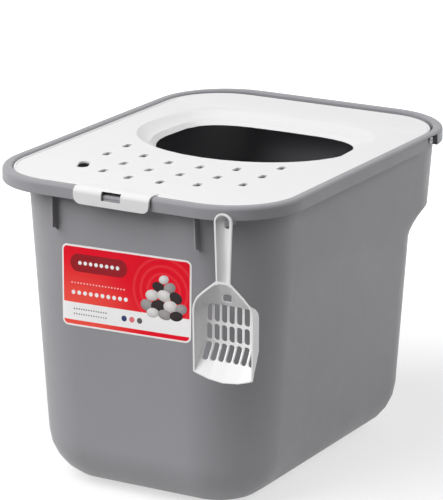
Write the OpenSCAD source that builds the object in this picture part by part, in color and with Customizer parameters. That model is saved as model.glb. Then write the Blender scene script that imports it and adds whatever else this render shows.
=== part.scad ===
// Top-entry litter box: a tapered tub with a flanged rim, a dished lid that
// tips on two side pins, and a slotted scoop that hangs on a rib of the tub.
// Millimetres. X runs across the width, Y from front to back, Z up.
// The origin is the middle of the rim outline, on the floor.

/* [Tub] */
// Width over the rim
rim_w = 374; // [340:1:420]
// Length over the rim
rim_l = 502; // [460:1:560]
// Height from the floor to the top of the rim
tub_h = 370; // [340:1:420]
// Corner radius of the rim at the front
rim_r = 88; // [76:1:100]
// Corner radius of the rim at the back
rim_back_r = 93; // [86:1:104]
// Width of the top of the rim
rim_flat = 11.8; // [11:0.1:16]
// Height of the skirt that hangs from the rim
skirt_h = 15; // [12:0.5:20]
// Depth of the recess that the lid sits in
recess_d = 14; // [12:0.5:18]
// Thickness of the walls and the floor
wall = 2.2; // [1.8:0.1:3]
// Inset of the front wall from the rim, at the top
front_inset = 15.8; // [14:0.1:24]
// Inset of the side walls from the rim, at the top
side_inset = 20; // [18:0.5:26]
// Lean of the front wall over the full height
front_lean = 21; // [8:1:35]
// Lean of the side walls over the full height
side_lean = 24.5; // [8:0.5:35]
// Corner radius of the front wall at the top
front_r_top = 97; // [80:1:105]
// Corner radius of the front wall at the floor
front_r_base = 74; // [65:1:90]
// Radius between the walls and the floor
floor_r = 57; // [30:1:60]
// Inset of the lower back wall from the rim
back_inset = 53; // [45:1:70]
// Corner radius of the lower back wall
back_r = 62; // [61:1:80]
// Height below the rim at which the wide back part ends
swell_drop = 94; // [86:1:120]
// Height over which the wide back part runs into the lower wall
swell_run = 35.5; // [24:0.5:60]
// Corner radius of the wide back part, at the top
swell_r = 85.5; // [80:0.5:92]

/* [Lid] */
// Gap between the lid and the rim, at the front and the sides
lid_gap = 0.8; // [0.5:0.1:2]
// Gap between the lid and the rim, at the back
lid_back_gap = 11.2; // [8:0.1:16]
// Corner radius of the lid at the back
lid_back_r = 73; // [68:1:78]
// Depth of the lid's surface below the rim
lid_sink = 3.2; // [2:0.1:4]
// Thickness of the lid's plate
plate = 2.4; // [2:0.1:3.6]
// Rise of the lid's surface towards the latch
lid_rise = 3.2; // [1:0.1:3.2]
// Thickness of the lid's downturned edge
edge_t = 2.2; // [1.8:0.1:3]
// Height of the bead along the lid's edge
bead_h = 1.2; // [0.6:0.1:1.6]
// Distance from the back of the rim to the pivot
pivot_back = 95; // [88:1:104]
// Depth of the pivot below the rim
pivot_drop = 8; // [7.5:0.1:8.6]
// Diameter of the pivot pins
pin_d = 8; // [6:0.5:9]
// Clearance on the pins' diameter
pin_clear = 0.12; // [0.06:0.02:0.18]
// Half width of the dish around the opening
dish_half = 139.5; // [130:0.5:143]
// Half width of the opening
hole_half = 114; // [95:1:118]
// Distance from the middle of the rim outline to the widest part of the opening
hole_y = 50; // [40:1:60]
// Length of the dish in front of its widest part
dish_front = 112; // [108:1:118]
// Length of the dish behind its widest part
dish_rear = 116; // [106:1:120]
// Length of the opening in front of its widest part
hole_front = 97; // [80:1:100]
// Length of the opening behind its widest part
hole_rear = 88; // [75:1:95]
// Depth of the dish at the lip of the opening
dish_d = 8.3; // [6:0.1:12]
// Height of the lip around the opening
lip_h = 5.5; // [3:0.5:8]
// Width of the lip's slope
lip_w = 6; // [3:0.5:8]
// Height of the raised strip at the back of the lid
strip_h = 0.9; // [0.5:0.1:1.1]
// Distance from the pivot to the raised strip
strip_off = 10; // [8:1:20]

/* [Paw slots] */
// Width of a slot
slot_w = 8; // [6:0.1:11]
// Length of a slot
slot_l = 15.5; // [12:0.5:21]
// Distance between columns of slots
slot_pitch_x = 40.7; // [36:0.1:42]
// Distance between rows of slots
slot_pitch_y = 43.5; // [38:0.5:44]
// Distance from the dish to the middle of the nearest slots
slot_off = 39.5; // [34:0.1:42]
// Radius of the arc along which a row of slots runs
slot_arc = 140; // [130:1:400]
// Width of the finger hole
finger_w = 13; // [12:0.5:18]
// Length of the finger hole
finger_l = 30; // [24:0.5:34]
// Turn of the finger hole, in degrees
finger_turn = 24; // [0:1:45]

/* [Latch] */
// Width of the tab on the front of the lid
tab_w = 96.5; // [80:0.5:120]
// Distance of the tab from the middle, to the left
tab_left = 1.8; // [0:0.1:6]
// Depth that the tab stands out from the skirt
tab_proud = 4.5; // [3:0.5:8]
// Height of the tab's front face below the rim
tab_drop = 17.5; // [15:0.5:22]
// Thickness of the tab
tab_t = 2.2; // [1.8:0.1:3]
// Gap between the tab and the cut end of the rim
tab_gap = 0.6; // [0.4:0.1:2]
// Width of the window in the tab
window_w = 24.5; // [16:0.5:30]
// Height of the window in the tab
window_h = 10.4; // [8:0.1:12]

/* [Front of the tub] */
// Distance of the left gusset from the middle
gusset_left = 87.3; // [75:0.1:92]
// Distance of the right gusset from the middle
gusset_right = 95; // [90:0.1:98]
// Height of the gussets below the skirt's lower edge
gusset_h = 39.5; // [20:0.5:50]
// Depth of the gussets at their foot, from the front wall
gusset_d = 10.3; // [6:0.1:12]
// Thickness of the gussets and ribs
rib_t = 1.6; // [1.2:0.1:3]
// Length of the opening in the skirt at each pivot
pivot_window = 26; // [18:0.5:30]
// Width of the label
label_w = 167; // [120:1:180]
// Height of the label
label_h = 96.5; // [70:0.5:120]
// Height of the middle of the label
label_z = 250; // [200:0.5:270]
// Slope of the label's top and bottom edges, in degrees
label_slope = 1.1; // [0:0.1:3]
// Lean of the label's ends, in degrees
label_lean = 2.5; // [0:0.1:4]
// Thickness of the label
label_t = 0.35; // [0.2:0.05:0.6]

/* [Scoop] */
// Distance of the scoop's middle line in from the end of the rim
scoop_in = 47; // [41:0.5:55]
// Width of the scoop's mouth
scoop_w = 76; // [70:1:84]
// Width of the scoop's floor
scoop_floor_w = 67; // [65:1:70]
// Depth of the scoop
scoop_d = 19.5; // [16:0.5:26]
// Length of the scoop's pan, from the neck to the lip
pan_l = 117; // [108:1:130]
// Length of the scoop's handle above the neck
handle_l = 74; // [60:1:90]
// Width of the handle at its end
handle_w = 22; // [21:0.5:28]
// Width of the handle at the neck
neck_w = 17; // [15:0.5:20]
// Depth of the handle's channel
handle_d = 10.5; // [9:0.5:14]
// Wall of the scoop
scoop_t = 2; // [1.6:0.1:2.6]
// Width of a sifting slot
sift_w = 7.4; // [5:0.1:7.6]
// Length of a sifting slot
sift_l = 19; // [16:0.5:20]
// Distance between sifting slots
sift_pitch = 9.4; // [9.1:0.1:9.6]
// Width of the hanging hole
hang_w = 6; // [5.5:0.1:8]
// Height of the hanging hole
hang_h = 11; // [10:0.1:12]
// Distance from the top of the handle to the hanging hole's middle
hang_drop = 14; // [13:0.5:18]
// Depth of the hanging hole's top below the rim
hang_depth = 11; // [10.5:0.1:14]

/* [Hidden] */

tub_grey = [0.53, 0.53, 0.54];
lid_white = [0.94, 0.94, 0.94];
label_red = [0.86, 0.05, 0.13];

eps = 0.01;
skirt_t = 2.2;
clear = 0.3;
hx = rim_w / 2;
hy = rim_l / 2;
skirt_z = tub_h - skirt_h;
ledge_z = tub_h - recess_d;
// Inset of the outer face of the recess wall from the rim
trough_in = rim_flat - wall;
corner_steps = 14;
side_steps = 6;

// Points of an arc of radius r about [cx, cy], a quarter turn from angle a
function quarter(cx, cy, r, a, n) =
    [for (i = [0:n]) [cx + r * cos(a + 90 * i / n), cy + r * sin(a + 90 * i / n)]];

// Outline with round corners: its half width at the front and the back, its
// front and back ends, and its front and back radii
function outline(hf, hb, yf, yb, rf, rb, n = corner_steps) = concat(
    quarter(hb - rb, yb - rb, rb, 0, n),
    quarter(rb - hb, yb - rb, rb, 90, n),
    quarter(rf - hf, yf + rf, rf, 180, n),
    quarter(hf - rf, yf + rf, rf, 270, n));

function at_z(points, z) = [for (p = points) [p[0], p[1], z]];
function mix(a, b, s) = a + (b - a) * s;
function ease(s) = (1 - cos(180 * s)) / 2;

// Solid through a stack of closed rings, closed at both ends
module stack(rings) {
    n = len(rings[0]);
    m = len(rings);
    points = [for (ring = rings) each ring];
    sides = [
        for (j = [0:m - 2], i = [0:n - 1])
            let (a = j * n + i, b = j * n + (i + 1) % n)
            each [[a, a + n, b], [b, a + n, b + n]]];
    base = [[for (i = [0:n - 1]) i]];
    top = [[for (i = [0:n - 1]) m * n - 1 - i]];
    polyhedron(points, concat(sides, base, top), 4);
}

// Solid of a closed profile carried round a loop: one row of points for each
// place on the loop
module loop_sweep(rows) {
    n = len(rows);
    m = len(rows[0]);
    points = [for (row = rows) each row];
    faces = [
        for (i = [0:n - 1], j = [0:m - 1])
            let (
                a = i * m + j,
                b = i * m + (j + 1) % m,
                c = ((i + 1) % n) * m + j,
                d = ((i + 1) % n) * m + (j + 1) % m)
            each [[a, b, c], [b, d, c]]];
    polyhedron(points, faces, 4);
}

// Flat rectangle with round corners, from [x0, y0] to [x1, y1]
module round_rect(x0, y0, x1, y1, r) {
    translate([x0 + r, y0]) square([x1 - x0 - 2 * r, y1 - y0]);
    translate([x0, y0 + r]) square([x1 - x0, y1 - y0 - 2 * r]);
    for (x = [x0 + r, x1 - r], y = [y0 + r, y1 - r])
        translate([x, y]) circle(r, $fn = 48);
}

// ---------- Tub ----------

// Insets of the walls at height z; t is the thickness taken off
function lean(amount, z) = amount * (tub_h - z) / tub_h;
function front_y(z) = -hy + front_inset + lean(front_lean, z);
function side_x(z) = hx - side_inset - lean(side_lean, z);
function front_r(z) = mix(front_r_base, front_r_top, z / tub_h);

swell_z = tub_h - swell_drop;
swell_base_z = swell_z - swell_run;
swell_draft = 0.075;
back_draft = 0.017;
// Share of the wide back part at height z: 1 in it, 0 below it
function swell(z) =
    z >= swell_z ? 1 :
    z <= swell_base_z ? 0 :
    pow((z - swell_base_z) / swell_run, 1.6);
function swell_in(z) = trough_in + 0.5 + swell_draft * (ledge_z - min(z, ledge_z));
function back_x(z) = mix(side_x(z), hx - swell_in(z), swell(z));
function back_y(z) =
    mix(hy - back_inset - back_draft * (swell_base_z - z), hy - swell_in(z), swell(z));
function back_round(z) = mix(back_r, swell_r - swell_draft * (ledge_z - min(z, ledge_z)), swell(z));

// Y of the front wall's outer face at height z, a distance x from the middle
function wall_y(x, z) =
    let (r = front_r(z))
    front_y(z) + r - sqrt(pow(r, 2) - pow(max(0, x - side_x(z) + r), 2));

// Ring of the wall at height z, t inside its outer face
function wall_ring(z, level, t) = at_z(
    outline(side_x(z) - t, back_x(z) - t, front_y(z) + t, back_y(z) - t,
        front_r(z) - t, back_round(z) - t),
    level);

fillet_steps = 6;
wall_levels = [
    for (s = [0.25, 0.6, 0.85]) mix(floor_r, swell_base_z, s),
    for (s = [0, 0.2, 0.45, 0.72, 1]) mix(swell_base_z, swell_z, s),
    mix(swell_z, ledge_z, 0.5)];

// Rings of the wall from its foot to height top, t inside its outer face
function wall_rings(t, top) = concat(
    [for (i = [0:fillet_steps])
        let (
            a = 90 * i / fillet_steps,
            r = floor_r - t,
            z = t + r * (1 - cos(a)))
        wall_ring(z, z, t + r * (1 - sin(a)))],
    [for (z = wall_levels) wall_ring(z, z, t)],
    [wall_ring(top, top, t)]);

// Carries the profile in children() round the rim. The profile's X is the
// distance out from the rim's outer face, its Y is the height.
module around_rim() {
    for (i = [0:3]) {
        r = i < 2 ? rim_back_r : rim_r;
        sx = (i == 0 || i == 3) ? 1 : -1;
        sy = i < 2 ? 1 : -1;
        translate([sx * (hx - r), sy * (hy - r), 0])
            rotate([0, 0, 90 * i])
                rotate_extrude(angle = 90, $fn = 96)
                    translate([r, 0]) children();
    }
    for (s = [0, 1]) mirror([s, 0, 0])
        translate([hx, hy - rim_back_r, 0]) rotate([90, 0, 0])
            linear_extrude(rim_l - rim_back_r - rim_r) children();
    rotate([0, 0, 90]) translate([hy, hx - rim_back_r, 0]) rotate([90, 0, 0])
        linear_extrude(2 * (hx - rim_back_r)) children();
    rotate([0, 0, -90]) translate([hy, hx - rim_r, 0]) rotate([90, 0, 0])
        linear_extrude(2 * (hx - rim_r)) children();
}

// Radii of the rim's top edges, outside and inside
edge_out = 4.5;
edge_in = 2.75;

// Channel open below: recess wall, top and skirt
module rim_profile() {
    polygon(concat(
        [[0, skirt_z]],
        [for (a = [0:15:90])
            [-edge_out + edge_out * cos(a), tub_h - edge_out + edge_out * sin(a)]],
        [for (a = [90:22.5:180])
            [-rim_flat + edge_in + edge_in * cos(a), tub_h - edge_in + edge_in * sin(a)]],
        [[-rim_flat, ledge_z - wall],
        [-trough_in, ledge_z - wall],
        [-trough_in, tub_h - wall],
        [-edge_out, tub_h - wall],
        [-skirt_t, tub_h - edge_out],
        [-skirt_t, skirt_z]]));
}

ledge_ring = outline(hx - trough_in - eps, hx - trough_in - eps, eps + trough_in - hy,
    hy - trough_in - eps, rim_r - trough_in, rim_back_r - trough_in);

module tub_walls() {
    difference() {
        stack(concat(wall_rings(0, ledge_z - wall),
            [at_z(ledge_ring, ledge_z - wall + eps), at_z(ledge_ring, ledge_z)]));
        stack(wall_rings(wall, ledge_z + 1));
    }
}

pivot_y = hy - pivot_back;
pivot_z = tub_h - pivot_drop;
// Middle of the opening in the skirt, a little in front of the pivot
pivot_mid = pivot_y - 3;
tab_cut = tab_w + 2 * tab_gap;

// Plate that closes a cut end of the rim's channel, between two depths from
// the rim's outer face
module end_plate(length) {
    translate([-trough_in - eps, -rib_t / 2, skirt_z])
        cube([length + eps, rib_t, skirt_h - wall + eps]);
}

// Gusset that carries the ledge on the front wall, inside the skirt, with a
// heel that runs down the wall
gusset_heel = 5.8;
gusset_lean = 2.5;
module gusset(x, height) {
    foot = skirt_z - height;
    tip = min(gusset_d - wall_y(abs(x), foot), hy - trough_in);
    translate([x + rib_t / 2, 0, 0]) rotate([90, 0, -90])
        linear_extrude(rib_t)
            polygon([
                [-wall_y(abs(x), foot - gusset_heel) - wall / 2, foot - gusset_heel],
                [tip - gusset_heel + 1, foot],
                [tip, foot],
                [min(tip + gusset_lean, hy - trough_in), ledge_z - wall / 2],
                [-wall_y(abs(x), ledge_z) - wall / 2, ledge_z - wall / 2]]);
}

// Place and size of the rib that the scoop hangs on
hang_top_z = tub_h - hang_depth;
scoop_x = rim_w / 2 - scoop_in;
scoop_back_y = -corner_y(rim_r, scoop_x - handle_w / 2) - 1;
web_y = scoop_back_y - scoop_t;
peg_end_y = web_y - 3;
peg_root_y = -corner_y(rim_r - trough_in, scoop_x) + wall / 2;
peg_h = hang_h - 2 * clear - 3;
// Rise of the rib in degrees: the scoop slides off it along this slope
rib_rise = 8;

// Y of the rim's corner of radius r at a distance x from the middle
function corner_y(r, x) =
    hy - rim_r + sqrt(pow(r, 2) - pow(max(0, x - hx + rim_r), 2));

module scoop_rib() {
    slope = tan(rib_rise);
    top = hang_top_z - clear;
    root_top = top - slope * (peg_root_y - web_y);
    tip_top = top + slope * (web_y - peg_end_y);
    translate([scoop_x + rib_t / 2, 0, 0]) rotate([90, 0, -90])
        linear_extrude(rib_t)
            polygon([
                [-peg_root_y, root_top - peg_h],
                [-peg_end_y - 1, tip_top - peg_h],
                [-peg_end_y, tip_top - peg_h + 1],
                [-peg_end_y, tip_top - 1],
                [-peg_end_y - 1, tip_top],
                [-peg_root_y, root_top]]);
}

window_top = 1.7;
catch_w = window_w + 15;

// Block on the front wall that the lid's tab closes over
module catch_block() {
    face_y = -hy - tab_proud + tab_t + clear * 2;
    root_y = -hy + trough_in + wall / 2;
    top = tub_h - 4.5;
    difference() {
        translate([-catch_w / 2, face_y, skirt_z + 2])
            cube([catch_w, root_y - face_y, top - skirt_z - 2]);
        translate([0, face_y, top]) rotate([0, 90, 0])
            cylinder(h = catch_w + 1, r = 2, center = true, $fn = 4);
        for (z = [top - 4.6, top - 7])
            translate([-catch_w / 2 - 1, face_y - 1, z]) cube([catch_w + 2, 1.5, 0.7]);
    }
}

module tub() {
    color(tub_grey) difference() {
        union() {
            tub_walls();
            difference() {
                around_rim() rim_profile();
                // Gap in the front of the rim for the lid's tab
                translate([-tab_left - tab_cut / 2, -hy - 1, skirt_z - 1])
                    cube([tab_cut, 1 + trough_in, skirt_h + 2]);
                translate([-tab_left - tab_cut / 2, -hy + trough_in - 1, tub_h - 6])
                    cube([tab_cut, wall + 2, 7]);
                // Openings in the skirt beside the pivots
                for (s = [-1, 1])
                    translate([s * (hx - 2) - 3, pivot_mid - pivot_window / 2, skirt_z - 1])
                        cube([6, pivot_window, skirt_h + 1 - wall]);
            }
            for (s = [-1, 1]) translate([s * (tab_cut + rib_t) / 2 - tab_left, -hy, 0])
                rotate([0, 0, -90]) end_plate(trough_in - edge_out / 3);
            for (s = [0, 1], e = [-1, 1]) mirror([s, 0, 0])
                translate([hx, pivot_mid + e * (pivot_window + rib_t) / 2, 0])
                    end_plate(trough_in - edge_out / 3);
            gusset(-gusset_left, gusset_h);
            gusset(gusset_right, gusset_h);
            scoop_rib();
            translate([-tab_left, 0, 0]) catch_block();
        }
        // Holes for the lid's pins
        for (s = [-1, 1])
            translate([s * (hx - trough_in - wall / 2), pivot_y, pivot_z])
                rotate([0, 90, 0])
                    cylinder(h = wall + 2, d = pin_d + pin_clear, center = true, $fn = 64);
    }
}

// ---------- Lid ----------

lid_hx = hx - rim_flat - lid_gap;
lid_front = -hy + rim_flat + lid_gap;
lid_back = hy - rim_flat - lid_back_gap;
lid_rf = rim_r - rim_flat - lid_gap;
lid_z = tub_h - lid_sink;
edge_z = ledge_z + clear;
bead_w = 2.4;

// The lid's surface is level around the opening and rises in a soft crown
// towards the latch: its rise at a point
rise_start = hole_y - dish_front - 28;
rise_end = rise_start - 110;
function rise(p) =
    lid_rise * ease(min(1, max(0, (rise_start - p[1]) / (rise_start - rise_end))))
    * (1 - pow(p[0] / lid_hx, 2));
// Ring on the lid's surface, raised by lift
function on_lid(points, lift) = [for (p = points) [p[0], p[1], lid_z + lift + rise(p)]];
// Ring on the bead, which dies away where the surface rises
function on_bead(points, drop) =
    [for (p = points) [p[0], p[1], lid_z - drop + max(bead_h, rise(p) + 0.2)]];

// Adds points along the straight stretches of an outline
function fill_sides(points, n) = [
    for (i = [0:len(points) - 1])
        let (a = points[i], b = points[(i + 1) % len(points)])
        each (norm(b - a) > 30 ? [for (k = [0:n - 1]) mix(a, b, k / n)] : [a])];

function lid_ring(t) = fill_sides(outline(lid_hx - t, lid_hx - t, lid_front + t,
    lid_back - t, lid_rf - t, lid_back_r - t), side_steps);

// Angle about the opening's widest line of each point of the lid's edge
lid_angles = [for (p = lid_ring(0)) atan2(
    (p[1] - hole_y) / (p[1] > hole_y ? lid_back - hole_y : hole_y - lid_front),
    p[0] / lid_hx)];

// Outline that is an ellipse in front of hole_y and squarer behind it
rear_power = 3.6;
function curve(c, power) = sign(c) * pow(abs(c), 2 / power);
function egg(half, front, rear) = [
    for (t = lid_angles)
        sin(t) > 0 ?
            [half * curve(cos(t), rear_power), hole_y + rear * curve(sin(t), rear_power)] :
            [half * cos(t), hole_y + front * sin(t)]];

function between(a, b, s) = [for (i = [0:len(a) - 1]) mix(a[i], b[i], s)];

dish_steps = 4;
// Shares of the way from the lid's edge to the dish at which it has a ring
plate_steps = [0.12, 0.26, 0.42, 0.58, 0.78];
// The dish is steep at its edge and flattens towards the lip
function dish_fall(s) = dish_d * (1 - pow(1 - s, 1.45));
module lid_shell() {
    outer = egg(dish_half, dish_front, dish_rear);
    throat = egg(hole_half + lip_w, hole_front + lip_w, hole_rear + lip_w);
    inner = egg(hole_half, hole_front, hole_rear);
    under = egg(hole_half + edge_t, hole_front + edge_t, hole_rear + edge_t);
    lip_z = lid_z - dish_d - lip_h;
    rings = concat(
        [at_z(lid_ring(0), edge_z),
        on_bead(lid_ring(0), 0.8),
        on_bead(lid_ring(0.8), 0),
        on_bead(lid_ring(bead_w), 0),
        on_lid(lid_ring(bead_w + 1), 0)],
        [for (s = plate_steps) on_lid(between(lid_ring(bead_w + 1), outer, s), 0)],
        [for (i = [0:dish_steps])
            let (s = i / dish_steps)
            at_z(between(outer, throat, s), lid_z - dish_fall(s))],
        [at_z(inner, lip_z),
        at_z(under, lip_z)],
        [for (i = [dish_steps:-1:0])
            let (s = i / dish_steps)
            at_z(between(outer, throat, s), lid_z - plate - dish_fall(s) * 0.8)],
        [for (i = [len(plate_steps) - 1:-1:0])
            on_lid(between(lid_ring(edge_t), outer, plate_steps[i]), -plate)],
        [on_lid(lid_ring(edge_t), -plate),
        at_z(lid_ring(edge_t), edge_z)]);
    loop_sweep([for (i = [0:len(outer) - 1]) [for (ring = rings) ring[i]]]);
}

// Soft step up to the strip behind the pivot
module lid_strip() {
    start = pivot_y + strip_off;
    inset = bead_w + 0.5;
    intersection() {
        translate([-lid_hx, 0, 0]) rotate([90, 0, 90])
            linear_extrude(2 * lid_hx)
                polygon([
                    [start, lid_z - 0.5], [start + 8, lid_z + strip_h],
                    [hy, lid_z + strip_h], [hy, lid_z - 0.5]]);
        translate([0, 0, lid_z - 1]) linear_extrude(4)
            polygon(outline(lid_hx - inset, lid_hx - inset, lid_front + inset,
                lid_back - inset, lid_rf - inset, lid_back_r - inset));
    }
}

// Height of the lid's surface at the latch
crest_z = lid_z + lid_rise;

// Places of the slots: six columns of three rows, each row along an arc
slot_row_y = hole_y - dish_front - slot_off;
function arc_rise(x) = slot_arc - sqrt(pow(slot_arc, 2) - pow(x, 2));
slot_places = [
    for (i = [-2.5:2.5], j = [0:2])
        let (x = i * slot_pitch_x)
        [x, slot_row_y + arc_rise(x) - j * slot_pitch_y]];
// The finger hole takes the place of the front slot at the left
finger_i = 2;
finger_forward = 14.3;
finger_in = 4.5;

module lid_hole(w, l, r) {
    translate([0, 0, lid_z - plate - 1]) linear_extrude(plate + lid_rise + 2)
        round_rect(-w / 2, -l / 2, w / 2, l / 2, r);
}

module paw_slots() {
    for (i = [0:len(slot_places) - 1])
        if (i != finger_i) translate(slot_places[i]) lid_hole(slot_w, slot_l, slot_w / 2 - 0.2);
    translate(slot_places[finger_i] + [finger_in, -finger_forward])
        rotate([0, 0, finger_turn]) lid_hole(finger_w, finger_l, finger_w / 2 - 0.1);
}

tab_face = -hy - tab_proud;
tab_top = tub_h + 1.5;
tab_foot = tub_h - tab_drop;
tab_round = 7;

// Tab over the front of the rim, with its window
module latch_tab() {
    root = lid_front + edge_t + 4;
    intersection() {
        translate([-tab_w / 2, 0, 0]) rotate([90, 0, 90])
            linear_extrude(tab_w)
                polygon(concat(
                    [[root, crest_z - plate + 0.4], [root, crest_z - 0.1]],
                    [[lid_front + 2, tab_top - 1], [lid_front - 3, tab_top]],
                    quarter(tab_face + tab_round, tab_top - tab_round, tab_round, 90, 6),
                    [[tab_face, tab_foot], [tab_face + tab_t, tab_foot]],
                    [for (a = [180:-15:90]) [
                        tab_face + tab_round + (tab_round - tab_t) * cos(a),
                        tab_top - tab_round + (tab_round - tab_t) * sin(a)]],
                    [[lid_front - 3, tab_top - tab_t], [lid_front + 2, crest_z - plate + 0.4]]));
        translate([0, root + 1, 0]) rotate([90, 0, 0])
            linear_extrude(root - tab_face + 2)
                round_rect(-tab_w / 2, tab_foot, tab_w / 2, tab_top + 12, 9);
    }
}

// Pins, from the downturned edge into the space behind the skirt. Their ends
// are slit so that they spring into the holes.
module pins() {
    pin_l = rim_flat + lid_gap - skirt_t - 1 + edge_t;
    slit = 1.4;
    for (s = [0, 1]) mirror([s, 0, 0])
        translate([lid_hx - edge_t, pivot_y, pivot_z]) rotate([0, 90, 0]) difference() {
            cylinder(h = pin_l, d = pin_d, $fn = 64);
            translate([-slit / 2, -pin_d, pin_l - skirt_t * 2])
                cube([slit, 2 * pin_d, skirt_t * 3]);
        }
}

module lid() {
    color(lid_white) {
        difference() {
            union() {
                lid_shell();
                lid_strip();
                translate([-tab_left, 0, 0]) latch_tab();
            }
            paw_slots();
            translate([-tab_left - window_w / 2, tab_face - 1, tab_top - window_top - window_h])
                cube([window_w, tab_t + 5, window_h]);
        }
        pins();
    }
}

// ---------- Label ----------

label_r = 7;
// Rectangle with round corners whose edges slope and whose ends lean
label_outline = [
    for (p = outline(label_w / 2, label_w / 2, -label_h / 2, label_h / 2, label_r, label_r, 8))
        [p[0] + p[1] * tan(label_lean), p[1] + p[0] * tan(label_slope)]];

module label_sticker() {
    z0 = label_z - label_h;
    z1 = label_z + label_h;
    levels = [z0, mix(z0, z1, 0.5), z1];
    color(label_red) intersection() {
        difference() {
            stack([for (z = levels) wall_ring(z, z, -label_t)]);
            stack([for (z = [z0 - 10, mix(z0, z1, 0.5), z1 + 10]) wall_ring(z, z, 0)]);
        }
        translate([0, 0, label_z]) rotate([90, 0, 0])
            linear_extrude(hy) polygon(label_outline);
    }
}

// ---------- Scoop ----------

// How far in front of the neck the pan has its full width, and where its floor starts
shoulder_run = 39;
floor_run = 33;
scoop_rim_y = web_y - handle_d + scoop_t;
scoop_floor_y = scoop_rim_y + scoop_d;
handle_top_z = hang_top_z - hang_h / 2 + hang_drop;
neck_z = handle_top_z - handle_l;
lip_end_z = neck_z - pan_l;

// Closed outline from the right half of one, which runs upwards
function both_sides(half) = concat(half,
    [for (i = [len(half) - 1:-1:0]) [-half[i][0], half[i][1]]]);

// Bottom edge between the two lower corners of an outline
bottom_steps = 6;
function bottom_edge(w, z, sag) =
    [for (i = [1:bottom_steps - 1])
        let (s = -cos(180 * i / bottom_steps))
        [w * s, z - sag * (1 - pow(s, 2))]];

// Outline of the pan's mouth as seen from the front, t inside
function mouth(t) =
    let (w = scoop_w / 2 - t, low = lip_end_z + 8)
    concat(both_sides([
        [w - 0.8, low],
        [w, neck_z - shoulder_run],
        [w - 0.6, neck_z - shoulder_run * 0.872],
        [w - 2.4, neck_z - shoulder_run * 0.744],
        [w - 5, neck_z - shoulder_run * 0.615 - t / 3],
        [w - 12.5, neck_z - shoulder_run * 0.423 - t / 2],
        [neck_w / 2 + 3 - t / 2, neck_z - 4.9 - t],
        [neck_w / 2 - t, neck_z - 2.6 - t]]),
        bottom_edge(w - 0.8, low, 8));

// Outline of the pan's floor, t inside, with as many points as the mouth
function pan_floor(t) =
    let (
        w = scoop_floor_w / 2 - t,
        low = lip_end_z + floor_run + t,
        top = neck_z - floor_run - t,
        r = 9 - 1.5 * t)
    concat(both_sides([
        [w, low + 8],
        [w, top - r],
        [w - r * (1 - cos(30)), top - r / 2],
        [w - r / 2, top - r * (1 - cos(30))],
        for (s = [1, 0.7, 0.45, 0.3]) [(w - r) * s, top + 0.6 * (1 - pow(s, 2))]]),
        bottom_edge(w - 1, low + 1, 1));

// Outer or inner form of the pan: from the flat floor out to the mouth
module pan_form(t, floor_y, mouth_y) {
    bend = 2.5;
    span = scoop_d + scoop_t;
    part = bend / span;
    soft = [for (i = [0:len(mouth(t)) - 1]) mix(pan_floor(t)[i], mouth(t)[i], part)];
    foot = [for (p = pan_floor(t)) [p[0] * 0.96, mix(neck_z - pan_l / 2, p[1], 0.97)]];
    rotate([90, 0, 0])
        stack([at_z(foot, -floor_y), at_z(soft, -floor_y + bend), at_z(mouth(t), -mouth_y)]);
}

module pan_slots() {
    floor_top = neck_z - floor_run - 4.5;
    row_pitch = sift_l + 2;
    for (i = [-3:3], j = [1:2])
        let (
            top = floor_top - j * row_pitch + 0.8,
            foot = floor_top - j * row_pitch - sift_l + 1.2)
        translate([i * sift_pitch, scoop_floor_y + scoop_t + 1, 0]) rotate([90, 0, 0])
            linear_extrude(j == 2 ? scoop_d : scoop_t + 1.4)
                round_rect(-sift_w / 2, foot, sift_w / 2, top, sift_w / 2 - 0.3);
    // The row nearest the neck ends at the floor's edge
    translate([0, scoop_floor_y + scoop_t + 1, 0]) rotate([90, 0, 0])
        linear_extrude(scoop_t + 1.4) intersection() {
            for (i = [-3:3])
                translate([i * sift_pitch, floor_top - sift_l + 1.2])
                    round_rect(-sift_w / 2, 0, sift_w / 2, sift_l * 1.5, sift_w / 2 - 0.3);
            polygon(pan_floor(scoop_t + 0.2));
        }
}

// Outline of the handle as seen from the front, t inside
handle_steps = 12;
function handle_ring(t) = concat(
    [for (i = [0:handle_steps])
        let (a = 180 * i / handle_steps, r = handle_w / 2)
        [(r - t) * cos(a), handle_top_z - r + (r - t) * sin(a)]],
    [[t - neck_w / 2, neck_z - 7], [neck_w / 2 - t, neck_z - 7]]);

// Round-bottomed trough of the handle: its inset at each share of its depth
handle_section = [[1, 8], [0.95, 6.5], [0.82, 4.4], [0.62, 2.7], [0.34, 1.1], [0, 0]];
module handle_form(t, back_y, front_y) {
    rotate([90, 0, 0]) stack([
        for (p = handle_section)
            at_z(handle_ring(p[1] * (1 - t / 8) + t), -mix(front_y, back_y, p[0]))]);
}

module scoop() {
    color(lid_white) translate([scoop_x, 0, 0]) difference() {
        union() {
            difference() {
                pan_form(0, scoop_floor_y + scoop_t, scoop_rim_y);
                pan_form(scoop_t, scoop_floor_y, scoop_rim_y - 0.5);
            }
            difference() {
                handle_form(0, scoop_back_y, scoop_rim_y);
                handle_form(scoop_t, web_y, scoop_rim_y - 0.5);
            }
        }
        pan_slots();
        // Hanging hole
        translate([0, scoop_back_y + 1, 0]) rotate([90, 0, 0])
            linear_extrude(handle_d)
                round_rect(-hang_w / 2, hang_top_z - hang_h, hang_w / 2, hang_top_z, 2.4);
        // Quarter-round hole in the slope behind the neck
        translate([1.5, scoop_floor_y + scoop_t + 3, neck_z - 30]) rotate([90, 0, 0])
            linear_extrude(scoop_d + 6) intersection() {
                circle(11.5, $fn = 64);
                polygon([[0, 0], [4.4, 12], [-12, 12], [-12, 0]]);
            }
    }
}

tub();
lid();
scoop();
label_sticker();
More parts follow.
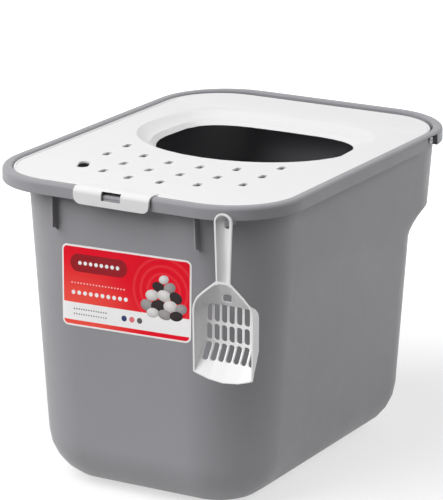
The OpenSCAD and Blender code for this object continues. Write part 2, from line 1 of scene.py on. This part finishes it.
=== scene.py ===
import math
import bpy
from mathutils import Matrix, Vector

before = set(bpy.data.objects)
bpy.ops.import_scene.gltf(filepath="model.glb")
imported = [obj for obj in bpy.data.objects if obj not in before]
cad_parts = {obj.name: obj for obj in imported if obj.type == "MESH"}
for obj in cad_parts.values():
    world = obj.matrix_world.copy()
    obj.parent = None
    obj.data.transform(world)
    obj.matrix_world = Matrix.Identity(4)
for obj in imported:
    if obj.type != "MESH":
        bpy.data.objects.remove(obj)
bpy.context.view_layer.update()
scene = bpy.context.scene
MM = 0.001


# ---------- Node trees ----------

def srgb(r, g, b):
    """Linear colour of an ordinary 0 to 255 one."""
    values = [c / 255 / 12.92 if c <= 10 else ((c / 255 + 0.055) / 1.055) ** 2.4 for c in (r, g, b)]
    return (*values, 1.0)


def scaled(color, factor):
    """The same colour, lighter or darker by a factor."""
    return [min(1.0, c * factor) for c in color[:3]] + [1.0]


class Tree:
    """Short calls that add nodes to one tree. Inputs are given by name or number, as values or as
    sockets."""

    def __init__(self, tree):
        self.tree = tree

    def node(self, kind, inputs=None, **settings):
        n = self.tree.nodes.new(kind)
        for key, value in settings.items():
            setattr(n, key, value)
        for key, value in (inputs or {}).items():
            self.put(n.inputs[key], value)
        return n

    def put(self, socket, value):
        if isinstance(value, bpy.types.NodeSocket):
            self.tree.links.new(value, socket)
        else:
            socket.default_value = value

    def math(self, operation, a, b=0.0, clamp=False):
        return self.node("ShaderNodeMath", {0: a, 1: b},
                         operation=operation, use_clamp=clamp).outputs[0]

    def vector(self, operation, a, b=(0.0, 0.0, 0.0)):
        return self.node("ShaderNodeVectorMath", {0: a, 1: b}, operation=operation).outputs[0]

    def length(self, a):
        return self.node("ShaderNodeVectorMath", {0: a}, operation="LENGTH").outputs[1]

    def dot(self, a, b):
        return self.node("ShaderNodeVectorMath", {0: a, 1: b}, operation="DOT_PRODUCT").outputs[1]

    def span(self, value, low, high, to_low=0.0, to_high=1.0, soft=False):
        """value from low to high becomes to_low to to_high."""
        n = self.node("ShaderNodeMapRange", {0: value, 1: low, 2: high, 3: to_low, 4: to_high})
        n.interpolation_type = "SMOOTHSTEP" if soft else "LINEAR"
        return n.outputs[0]

    def mix(self, factor, a, b):
        return self.node("ShaderNodeMix", {0: factor, 6: a, 7: b}, data_type="RGBA").outputs[2]

    def noise(self, where, size, detail=2.0, rough=0.5):
        """Noise whose lumps are about size metres across."""
        return self.node("ShaderNodeTexNoise",
                         {"Vector": where, "Scale": 1 / size, "Detail": detail,
                          "Roughness": rough}).outputs[0]

    def bump(self, height, depth, normal=None, strength=1.0):
        """Normal of a surface that a height from 0 to 1 raises by up to depth metres."""
        inputs = {"Strength": strength, "Distance": depth, "Height": height}
        if normal is not None:
            inputs["Normal"] = normal
        return self.node("ShaderNodeBump", inputs).outputs[0]

    def position(self):
        """Object coordinates in metres."""
        return self.node("ShaderNodeTexCoord").outputs["Object"]

    def by_ray(self, lighting, shown):
        """One shader for the rays that light the object, and the other for those that show the
        surroundings: to the camera, in a gloss or through glass."""
        path = self.node("ShaderNodeLightPath")
        seen = self.math("MAXIMUM", path.outputs["Is Camera Ray"], path.outputs["Is Glossy Ray"])
        seen = self.math("MAXIMUM", seen, path.outputs["Is Transmission Ray"])
        return self.node("ShaderNodeMixShader", {0: seen, 1: lighting, 2: shown}).outputs[0]


def material(name):
    """(empty node material, its tree)"""
    m = bpy.data.materials.new(name)
    m.use_nodes = True
    m.node_tree.nodes.clear()
    return m, Tree(m.node_tree)


def principled(name):
    """(material, its tree, its shader, object coordinates in metres)"""
    m, t = material(name)
    shader = t.node("ShaderNodeBsdfPrincipled")
    t.node("ShaderNodeOutputMaterial", {0: shader.outputs[0]})
    return m, t, shader, t.position()


# ---------- Moulded plastic ----------

# Sizes of what shows in the surface
CLOUD, STREAK, RUB = 160 * MM, 12 * MM, 22 * MM
STREAK_SQUEEZE = (1.0, 1.0, 0.22)
WAVE, WAVE_DEPTH, GRAIN = 45 * MM, 0.4 * MM, 0.9 * MM


def moulded(name, color, rough, grain_depth, flow, edge_radius, painted_edge_highlight):
    """Injection-moulded plastic. grain_depth is the depth of the spark-eroded surface and
    edge_radius the rounding of the edges, in metres. flow is how much the melt's streaks change the
    colour, and the last argument how much lighter the edges are painted, as a painted highlight."""
    m, t, shader, where = principled(name)

    # Faint clouds and upright streaks left by the flowing melt
    clouds = t.noise(where, CLOUD, 3.0)
    streaks = t.noise(t.vector("MULTIPLY", where, STREAK_SQUEEZE), STREAK)
    melt = t.math("ADD", t.math("MULTIPLY", clouds, 0.7), t.math("MULTIPLY", streaks, 0.3))
    body = t.mix(t.span(melt, 0.32, 0.68), scaled(color, 1 - flow), scaled(color, 1 + flow))

    # Edges, where the rounded normal turns away from the flat one. The base colour is painted
    # lighter along them, a painted highlight
    rounded = t.node("ShaderNodeBevel", {"Radius": edge_radius}, samples=6).outputs[0]
    flat = t.node("ShaderNodeNewGeometry").outputs["Normal"]
    edge = t.span(t.dot(rounded, flat), 0.995, 0.8)
    # Painted highlight: the base colour is made lighter along the edges
    t.put(shader.inputs["Base Color"], t.mix(edge, body, scaled(color, 1 + painted_edge_highlight)))

    # Gloss: uneven over the moulding, with rubbed patches and smoother edges
    rub = t.span(t.noise(where, RUB, 4.0, 0.6), 0.35, 0.7)
    uneven = t.span(clouds, 0.3, 0.7, rough - 0.05, rough + 0.05)
    patch = t.math("ADD", uneven, t.math("MULTIPLY", rub, 0.07))
    t.put(shader.inputs["Roughness"],
          t.math("SUBTRACT", patch, t.math("MULTIPLY", edge, 0.1), clamp=True))

    # Surface: spark-eroded grain over slight waviness
    waves = t.bump(t.noise(where, WAVE, 1.0), WAVE_DEPTH, rounded)
    t.put(shader.inputs["Normal"], t.bump(t.noise(where, GRAIN, 3.0, 0.65), grain_depth, waves))
    return m


# ---------- Label ----------

# Height of the label's middle in millimetres, and how its ends lean and its edges slope
LABEL_Z = 250.0
LABEL_LEAN, LABEL_SLOPE = math.tan(math.radians(2.5)), math.tan(math.radians(1.1))

DEEP_RED, WARM_RED, DARK_RED = srgb(236, 4, 38), srgb(246, 84, 70), srgb(150, 18, 30)
RING_RED, SPECK_RED = srgb(255, 120, 120), srgb(120, 20, 30)
PAPER, BORDER = srgb(251, 251, 251), srgb(251, 249, 249)
BLACK, GREY, PEARL = srgb(34, 32, 34), srgb(168, 166, 166), srgb(236, 235, 233)

# What follows is in millimetres from the label's middle
WARM_CORNER, WARM_SCALE = (-62.0, -34.0, 0.0), (0.0105, 0.0135, 0.0)
RING_MIDDLE, RING_RADII, RING_WIDTH, RING_BLUR = (49.0, 8.0), (22.0, 31.0, 40.0), 3.0, 0.6
# Middle, half width, half height and corner radius
WHITE_BAND = (0.0, -30.5, 90.0, 10.5, 0.3)
INSIDE_BORDER = (0.0, 0.0, 81.4, 46.1, 5.0)
# The same, and the colour
BARS = [
    (-35.0, 27.5, 37.0, 10.5, 10.4, DARK_RED),
    (-2.0, -30.5, 3.4, 3.4, 3.3, srgb(40, 62, 110)),
    (8.0, -30.5, 3.4, 3.4, 3.3, srgb(232, 120, 130)),
    (18.0, -30.5, 3.4, 3.4, 3.3, srgb(90, 88, 90)),
]
# Rows of dots: middle, half width, distance between dots, their radius and colour
DOT_ROWS = [
    (-35.0, 27.5, 28.0, 7.0, 2.3, PAPER),
    (-36.0, 3.5, 36.0, 4.0, 1.0, srgb(255, 190, 190)),
    (-34.0, -8.0, 38.0, 7.6, 2.5, PAPER),
    (-46.4, -27.5, 22.4, 3.2, 0.9, srgb(70, 68, 70)),
    (-46.4, -33.5, 22.4, 3.2, 0.9, srgb(120, 118, 120)),
]
# Pebbles from back to front: middle, half width, half height, turn in degrees and colour
PEBBLES = [
    (49.0, 22.0, 6.5, 5.0, 20, PEARL), (42.0, 12.5, 8.0, 6.0, -15, BLACK),
    (56.5, 13.0, 8.0, 6.2, 25, GREY), (34.0, 2.0, 8.5, 6.5, 10, PEARL),
    (49.5, 3.0, 9.0, 6.8, -8, PEARL), (64.5, 2.5, 8.5, 6.6, -25, BLACK),
    (27.5, -10.5, 8.5, 6.8, -12, GREY), (42.0, -9.5, 9.5, 7.2, 14, BLACK),
    (57.5, -8.5, 9.0, 7.0, 4, PEARL), (71.0, -10.0, 7.5, 6.2, 18, GREY),
    (35.0, -18.5, 8.0, 5.8, 5, PEARL), (50.5, -19.0, 9.0, 6.0, -6, GREY),
    (65.0, -18.8, 8.5, 5.8, 8, BLACK),
]
# Further than the label reaches, so that a row of dots doesn't repeat upwards
FAR = 1000.0


def label_film():
    """Printed film on the tub's front: a plain design of bars, dots and pebbles."""
    m, t, shader, where = principled("label_film")

    # Millimetres from the label's middle, along its own edges
    in_mm = t.node("ShaderNodeVectorMath", {0: where, "Scale": 1 / MM},
                   operation="SCALE").outputs[0]
    xyz = t.node("ShaderNodeSeparateXYZ", {0: in_mm})
    x, z = xyz.outputs["X"], t.math("SUBTRACT", xyz.outputs["Z"], LABEL_Z)
    u = t.math("SUBTRACT", x, t.math("MULTIPLY", z, LABEL_LEAN))
    v = t.math("SUBTRACT", z, t.math("MULTIPLY", x, LABEL_SLOPE))
    p = t.node("ShaderNodeCombineXYZ", {0: u, 1: v}).outputs[0]

    def bar(at, cx, cy, half_w, half_h, r, blur=0.12):
        """1 inside a bar with rounded corners of radius r, and 0 outside."""
        q = t.vector("ABSOLUTE", t.vector("SUBTRACT", at, (cx, cy, 0.0)))
        q = t.vector("MAXIMUM", t.vector("SUBTRACT", q, (half_w - r, half_h - r, 0.0)))
        return t.span(t.length(q), r - blur, r + blur, 1.0, 0.0)

    def dots(cx, cy, half_w, pitch, r):
        """A row of round dots, pitch apart."""
        row = t.node("ShaderNodeVectorMath",
                     {0: t.vector("SUBTRACT", p, (cx, cy, 0.0)),
                      1: (pitch, FAR, 1.0), 2: (0.0, -FAR, -1.0)}, operation="WRAP").outputs[0]
        return t.math("MULTIPLY", bar(row, pitch / 2, 0.0, r, r, r),
                      bar(p, cx, cy, half_w, r + 1, 0.5))

    # Red, warmer towards the lower left
    from_corner = t.vector("MULTIPLY", t.vector("SUBTRACT", p, WARM_CORNER), WARM_SCALE)
    warmth = t.span(t.length(from_corner), 0.15, 1.0, 1.0, 0.0, soft=True)
    ink = t.mix(warmth, DEEP_RED, WARM_RED)

    # Faint rings behind the design
    for r in RING_RADII:
        outer, inner = [bar(p, *RING_MIDDLE, s, s, s, RING_BLUR) for s in (r, r - RING_WIDTH)]
        ring = t.math("MULTIPLY", t.math("SUBTRACT", outer, inner), 0.16)
        ink = t.mix(ring, ink, RING_RED)

    # White band, with the same red again below it
    ink = t.mix(bar(p, *WHITE_BAND), ink, PAPER)
    for *place, color in BARS:
        ink = t.mix(bar(p, *place), ink, color)
    for *place, color in DOT_ROWS:
        ink = t.mix(dots(*place), ink, color)

    # A heap of pebbles, each lit from its upper left
    for cx, cy, half_w, half_h, turn, color in PEBBLES:
        turned = t.node("ShaderNodeMapping",
                        {"Vector": p, "Location": (cx, cy, 0.0),
                         "Rotation": (0.0, 0.0, math.radians(turn)),
                         "Scale": (half_w, half_h, 1.0)}, vector_type="TEXTURE").outputs[0]
        from_light = t.length(t.vector("SUBTRACT", turned, (-0.25, 0.4, 0.0)))
        stone = t.mix(t.span(from_light, 0.3, 1.35), color, scaled(color, 0.62))
        ink = t.mix(t.span(t.length(turned), 0.97, 1.0, 1.0, 0.0), ink, stone)

    # The white border, then speckle of the print screen over all of it
    ink = t.mix(bar(p, *INSIDE_BORDER), BORDER, ink)
    speck = t.span(t.noise(where, 0.6 * MM), 0.35, 0.65, 0.0, 0.08)
    t.put(shader.inputs["Base Color"], t.mix(speck, ink, SPECK_RED))

    # Gloss, and a film that ripples a little on the wall
    shader.inputs["Specular IOR Level"].default_value = 0.2
    t.put(shader.inputs["Roughness"], t.span(t.noise(where, 30 * MM, 3.0), 0.3, 0.7, 0.3, 0.4))
    ripple = t.bump(t.noise(where, 35 * MM, 1.0), 0.25 * MM)
    t.put(shader.inputs["Normal"],
          t.bump(t.noise(where, 0.5 * MM), 0.02 * MM, ripple, strength=0.6))
    return m


# ---------- The four CAD pieces ----------

WELD_DISTANCE = 0.005 * MM
SHARP_ANGLE = math.radians(28)


def weld_group():
    """Modifier that joins the imported mesh's split corners and shades it smooth up to the sharp
    angle."""
    g = bpy.data.node_groups.new("weld_and_shade", "GeometryNodeTree")
    for direction in ("INPUT", "OUTPUT"):
        g.interface.new_socket("Geometry", in_out=direction, socket_type="NodeSocketGeometry")
    t = Tree(g)
    mesh = t.node("NodeGroupInput").outputs[0]
    mesh = t.node("GeometryNodeMergeByDistance",
                  {"Geometry": mesh, "Distance": WELD_DISTANCE}).outputs[0]
    for name in ("custom_normal", "sharp_face", "sharp_edge"):
        mesh = t.node("GeometryNodeRemoveAttribute", {"Geometry": mesh, "Name": name}).outputs[0]
    mesh = t.node("GeometryNodeSetShadeSmooth",
                  {"Geometry": mesh, "Shade Smooth": True}, domain="FACE").outputs[0]
    angle = t.node("GeometryNodeInputMeshEdgeAngle").outputs["Unsigned Angle"]
    sharp = t.math("GREATER_THAN", angle, SHARP_ANGLE)
    mesh = t.node("GeometryNodeSetShadeSmooth",
                  {"Geometry": mesh, "Selection": sharp, "Shade Smooth": False},
                  domain="EDGE").outputs[0]
    t.node("NodeGroupOutput", {0: mesh})
    return g


# The last number of each finish is how much lighter its edges are painted, a painted highlight
FINISHES = {
    "tub": moulded("grey_plastic", srgb(141, 140, 144), rough=0.38, grain_depth=0.06 * MM,
                   flow=0.02, edge_radius=0.8 * MM, painted_edge_highlight=0.4),
    "lid": moulded("white_plastic", srgb(220, 220, 220), rough=0.42, grain_depth=0.03 * MM,
                   flow=0.008, edge_radius=0.4 * MM, painted_edge_highlight=0.08),
    "scoop": moulded("scoop_plastic", srgb(234, 234, 234), rough=0.48, grain_depth=0.02 * MM,
                     flow=0.008, edge_radius=0.4 * MM, painted_edge_highlight=0.06),
    "label_sticker": label_film(),
}
WELD = weld_group()

for name, finish in FINISHES.items():
    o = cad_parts[name]
    o.data.materials.clear()
    o.data.materials.append(finish)
    o.modifiers.new("weld", "NODES").node_group = WELD
    weighted = o.modifiers.new("weighted", "WEIGHTED_NORMAL")
    weighted.keep_sharp = True
    weighted.mode = "FACE_AREA_WITH_ANGLE"

# ---------- Floor ----------

FLOOR_HALF = 12
FLOOR_DROP = 0.5 * MM
WHITE = (1, 1, 1, 1)
# Distances from the middle, in metres, over which the white floor gains its own light and the
# board fades into the dark floor
GLOW_FROM, GLOW_TO = 0.3, 1.3
BOARD_FROM, BOARD_TO = 0.35, 0.6


def floor_material():
    """What the camera sees is paper white, dimmed only where the box shades it. What lights the
    object is a pale board near the box and a dark floor further off."""
    m, t = material("floor")
    away = t.length(t.position())
    paper = t.node("ShaderNodeBsdfDiffuse", {0: srgb(170, 170, 170)}).outputs[0]
    strength = t.span(away, GLOW_FROM, GLOW_TO, 0.62, 1.0)
    glow = t.node("ShaderNodeEmission", {0: WHITE, 1: strength}).outputs[0]
    shown = t.node("ShaderNodeAddShader", {0: paper, 1: glow}).outputs[0]
    board = t.mix(t.span(away, BOARD_FROM, BOARD_TO), srgb(205, 205, 205), srgb(60, 60, 60))
    lighting = t.node("ShaderNodeBsdfDiffuse", {0: board}).outputs[0]
    t.node("ShaderNodeOutputMaterial", {0: t.by_ray(lighting, shown)})
    return m


h = FLOOR_HALF
floor_mesh = bpy.data.meshes.new("floor")
floor_mesh.from_pydata([(-h, -h, 0), (h, -h, 0), (h, h, 0), (-h, h, 0)], [], [(0, 1, 2, 3)])
floor_mesh.materials.append(floor_material())
floor = bpy.data.objects.new("floor", floor_mesh)
floor.location.z = -FLOOR_DROP
scene.collection.objects.link(floor)

# ---------- Light ----------

LAMP_DISTANCE = 3.5
LAMP_AIM = Vector((0, 0, 0.25))
# Light of the room in front of the box and behind it
ROOM_FRONT, ROOM_BACK = 0.1, 0.42


def surroundings():
    """World that is white to the camera. The room that lights the object is a little brighter
    behind the box, where no lamp reaches."""
    world = bpy.data.worlds.new("world")
    world.use_nodes = True
    world.node_tree.nodes.clear()
    t = Tree(world.node_tree)
    direction = t.node("ShaderNodeTexCoord").outputs["Generated"]
    behind = t.node("ShaderNodeSeparateXYZ", {0: direction}).outputs["Y"]
    level = t.span(behind, -0.1, 0.6, ROOM_FRONT, ROOM_BACK)
    room = t.node("ShaderNodeBackground", {0: WHITE, 1: level}).outputs[0]
    shown = t.node("ShaderNodeBackground", {0: WHITE, 1: 1.0}).outputs[0]
    t.node("ShaderNodeOutputWorld", {0: t.by_ray(room, shown)})
    return world


def lamp(name, direction, level, size):
    """A soft square lamp that lights a white face turned to it to the given level, where 1 renders
    as white. The gloss doesn't reflect it, because it would whiten the whole lid in views from
    behind."""
    light = bpy.data.lights.new(name, "AREA")
    light.energy = level * (math.pi * LAMP_DISTANCE) ** 2
    light.size = size
    o = bpy.data.objects.new(name, light)
    scene.collection.objects.link(o)
    o.visible_camera = False
    o.visible_glossy = False
    towards = Vector(direction).normalized()
    o.location = LAMP_AIM + towards * LAMP_DISTANCE
    o.rotation_euler = (-towards).to_track_quat("-Z", "Y").to_euler()


scene.world = surroundings()
lamp("front_left", (-0.40, -0.66, 0.72), level=1.38, size=3.0)
lamp("right", (0.80, 0.36, 0.50), level=0.40, size=2.0)

# ---------- Camera ----------

# Solved from the photograph: its height and the focal length in its pixels, the camera's place in
# metres and its angles
PHOTO_HEIGHT, FOCAL_PX = 500, 3120.75
CAMERA_AT = (1.7326, -3.0307, 1.2616)
PITCH, YAW = math.radians(16.29), math.radians(29.89)
SENSOR = 36

cam = bpy.data.objects.new("camera", bpy.data.cameras.new("camera"))
scene.collection.objects.link(cam)
scene.camera = cam
cam.data.sensor_fit = "AUTO"
cam.data.sensor_width = SENSOR
cam.data.lens = FOCAL_PX / PHOTO_HEIGHT * SENSOR
cam.data.clip_start = 0.1
cam.data.clip_end = 100
cam.location = CAMERA_AT
ahead = Vector((-math.sin(YAW) * math.cos(PITCH), math.cos(YAW) * math.cos(PITCH),
                -math.sin(PITCH)))
cam.rotation_euler = ahead.to_track_quat("-Z", "Y").to_euler()

scene.view_settings.view_transform = "Standard"
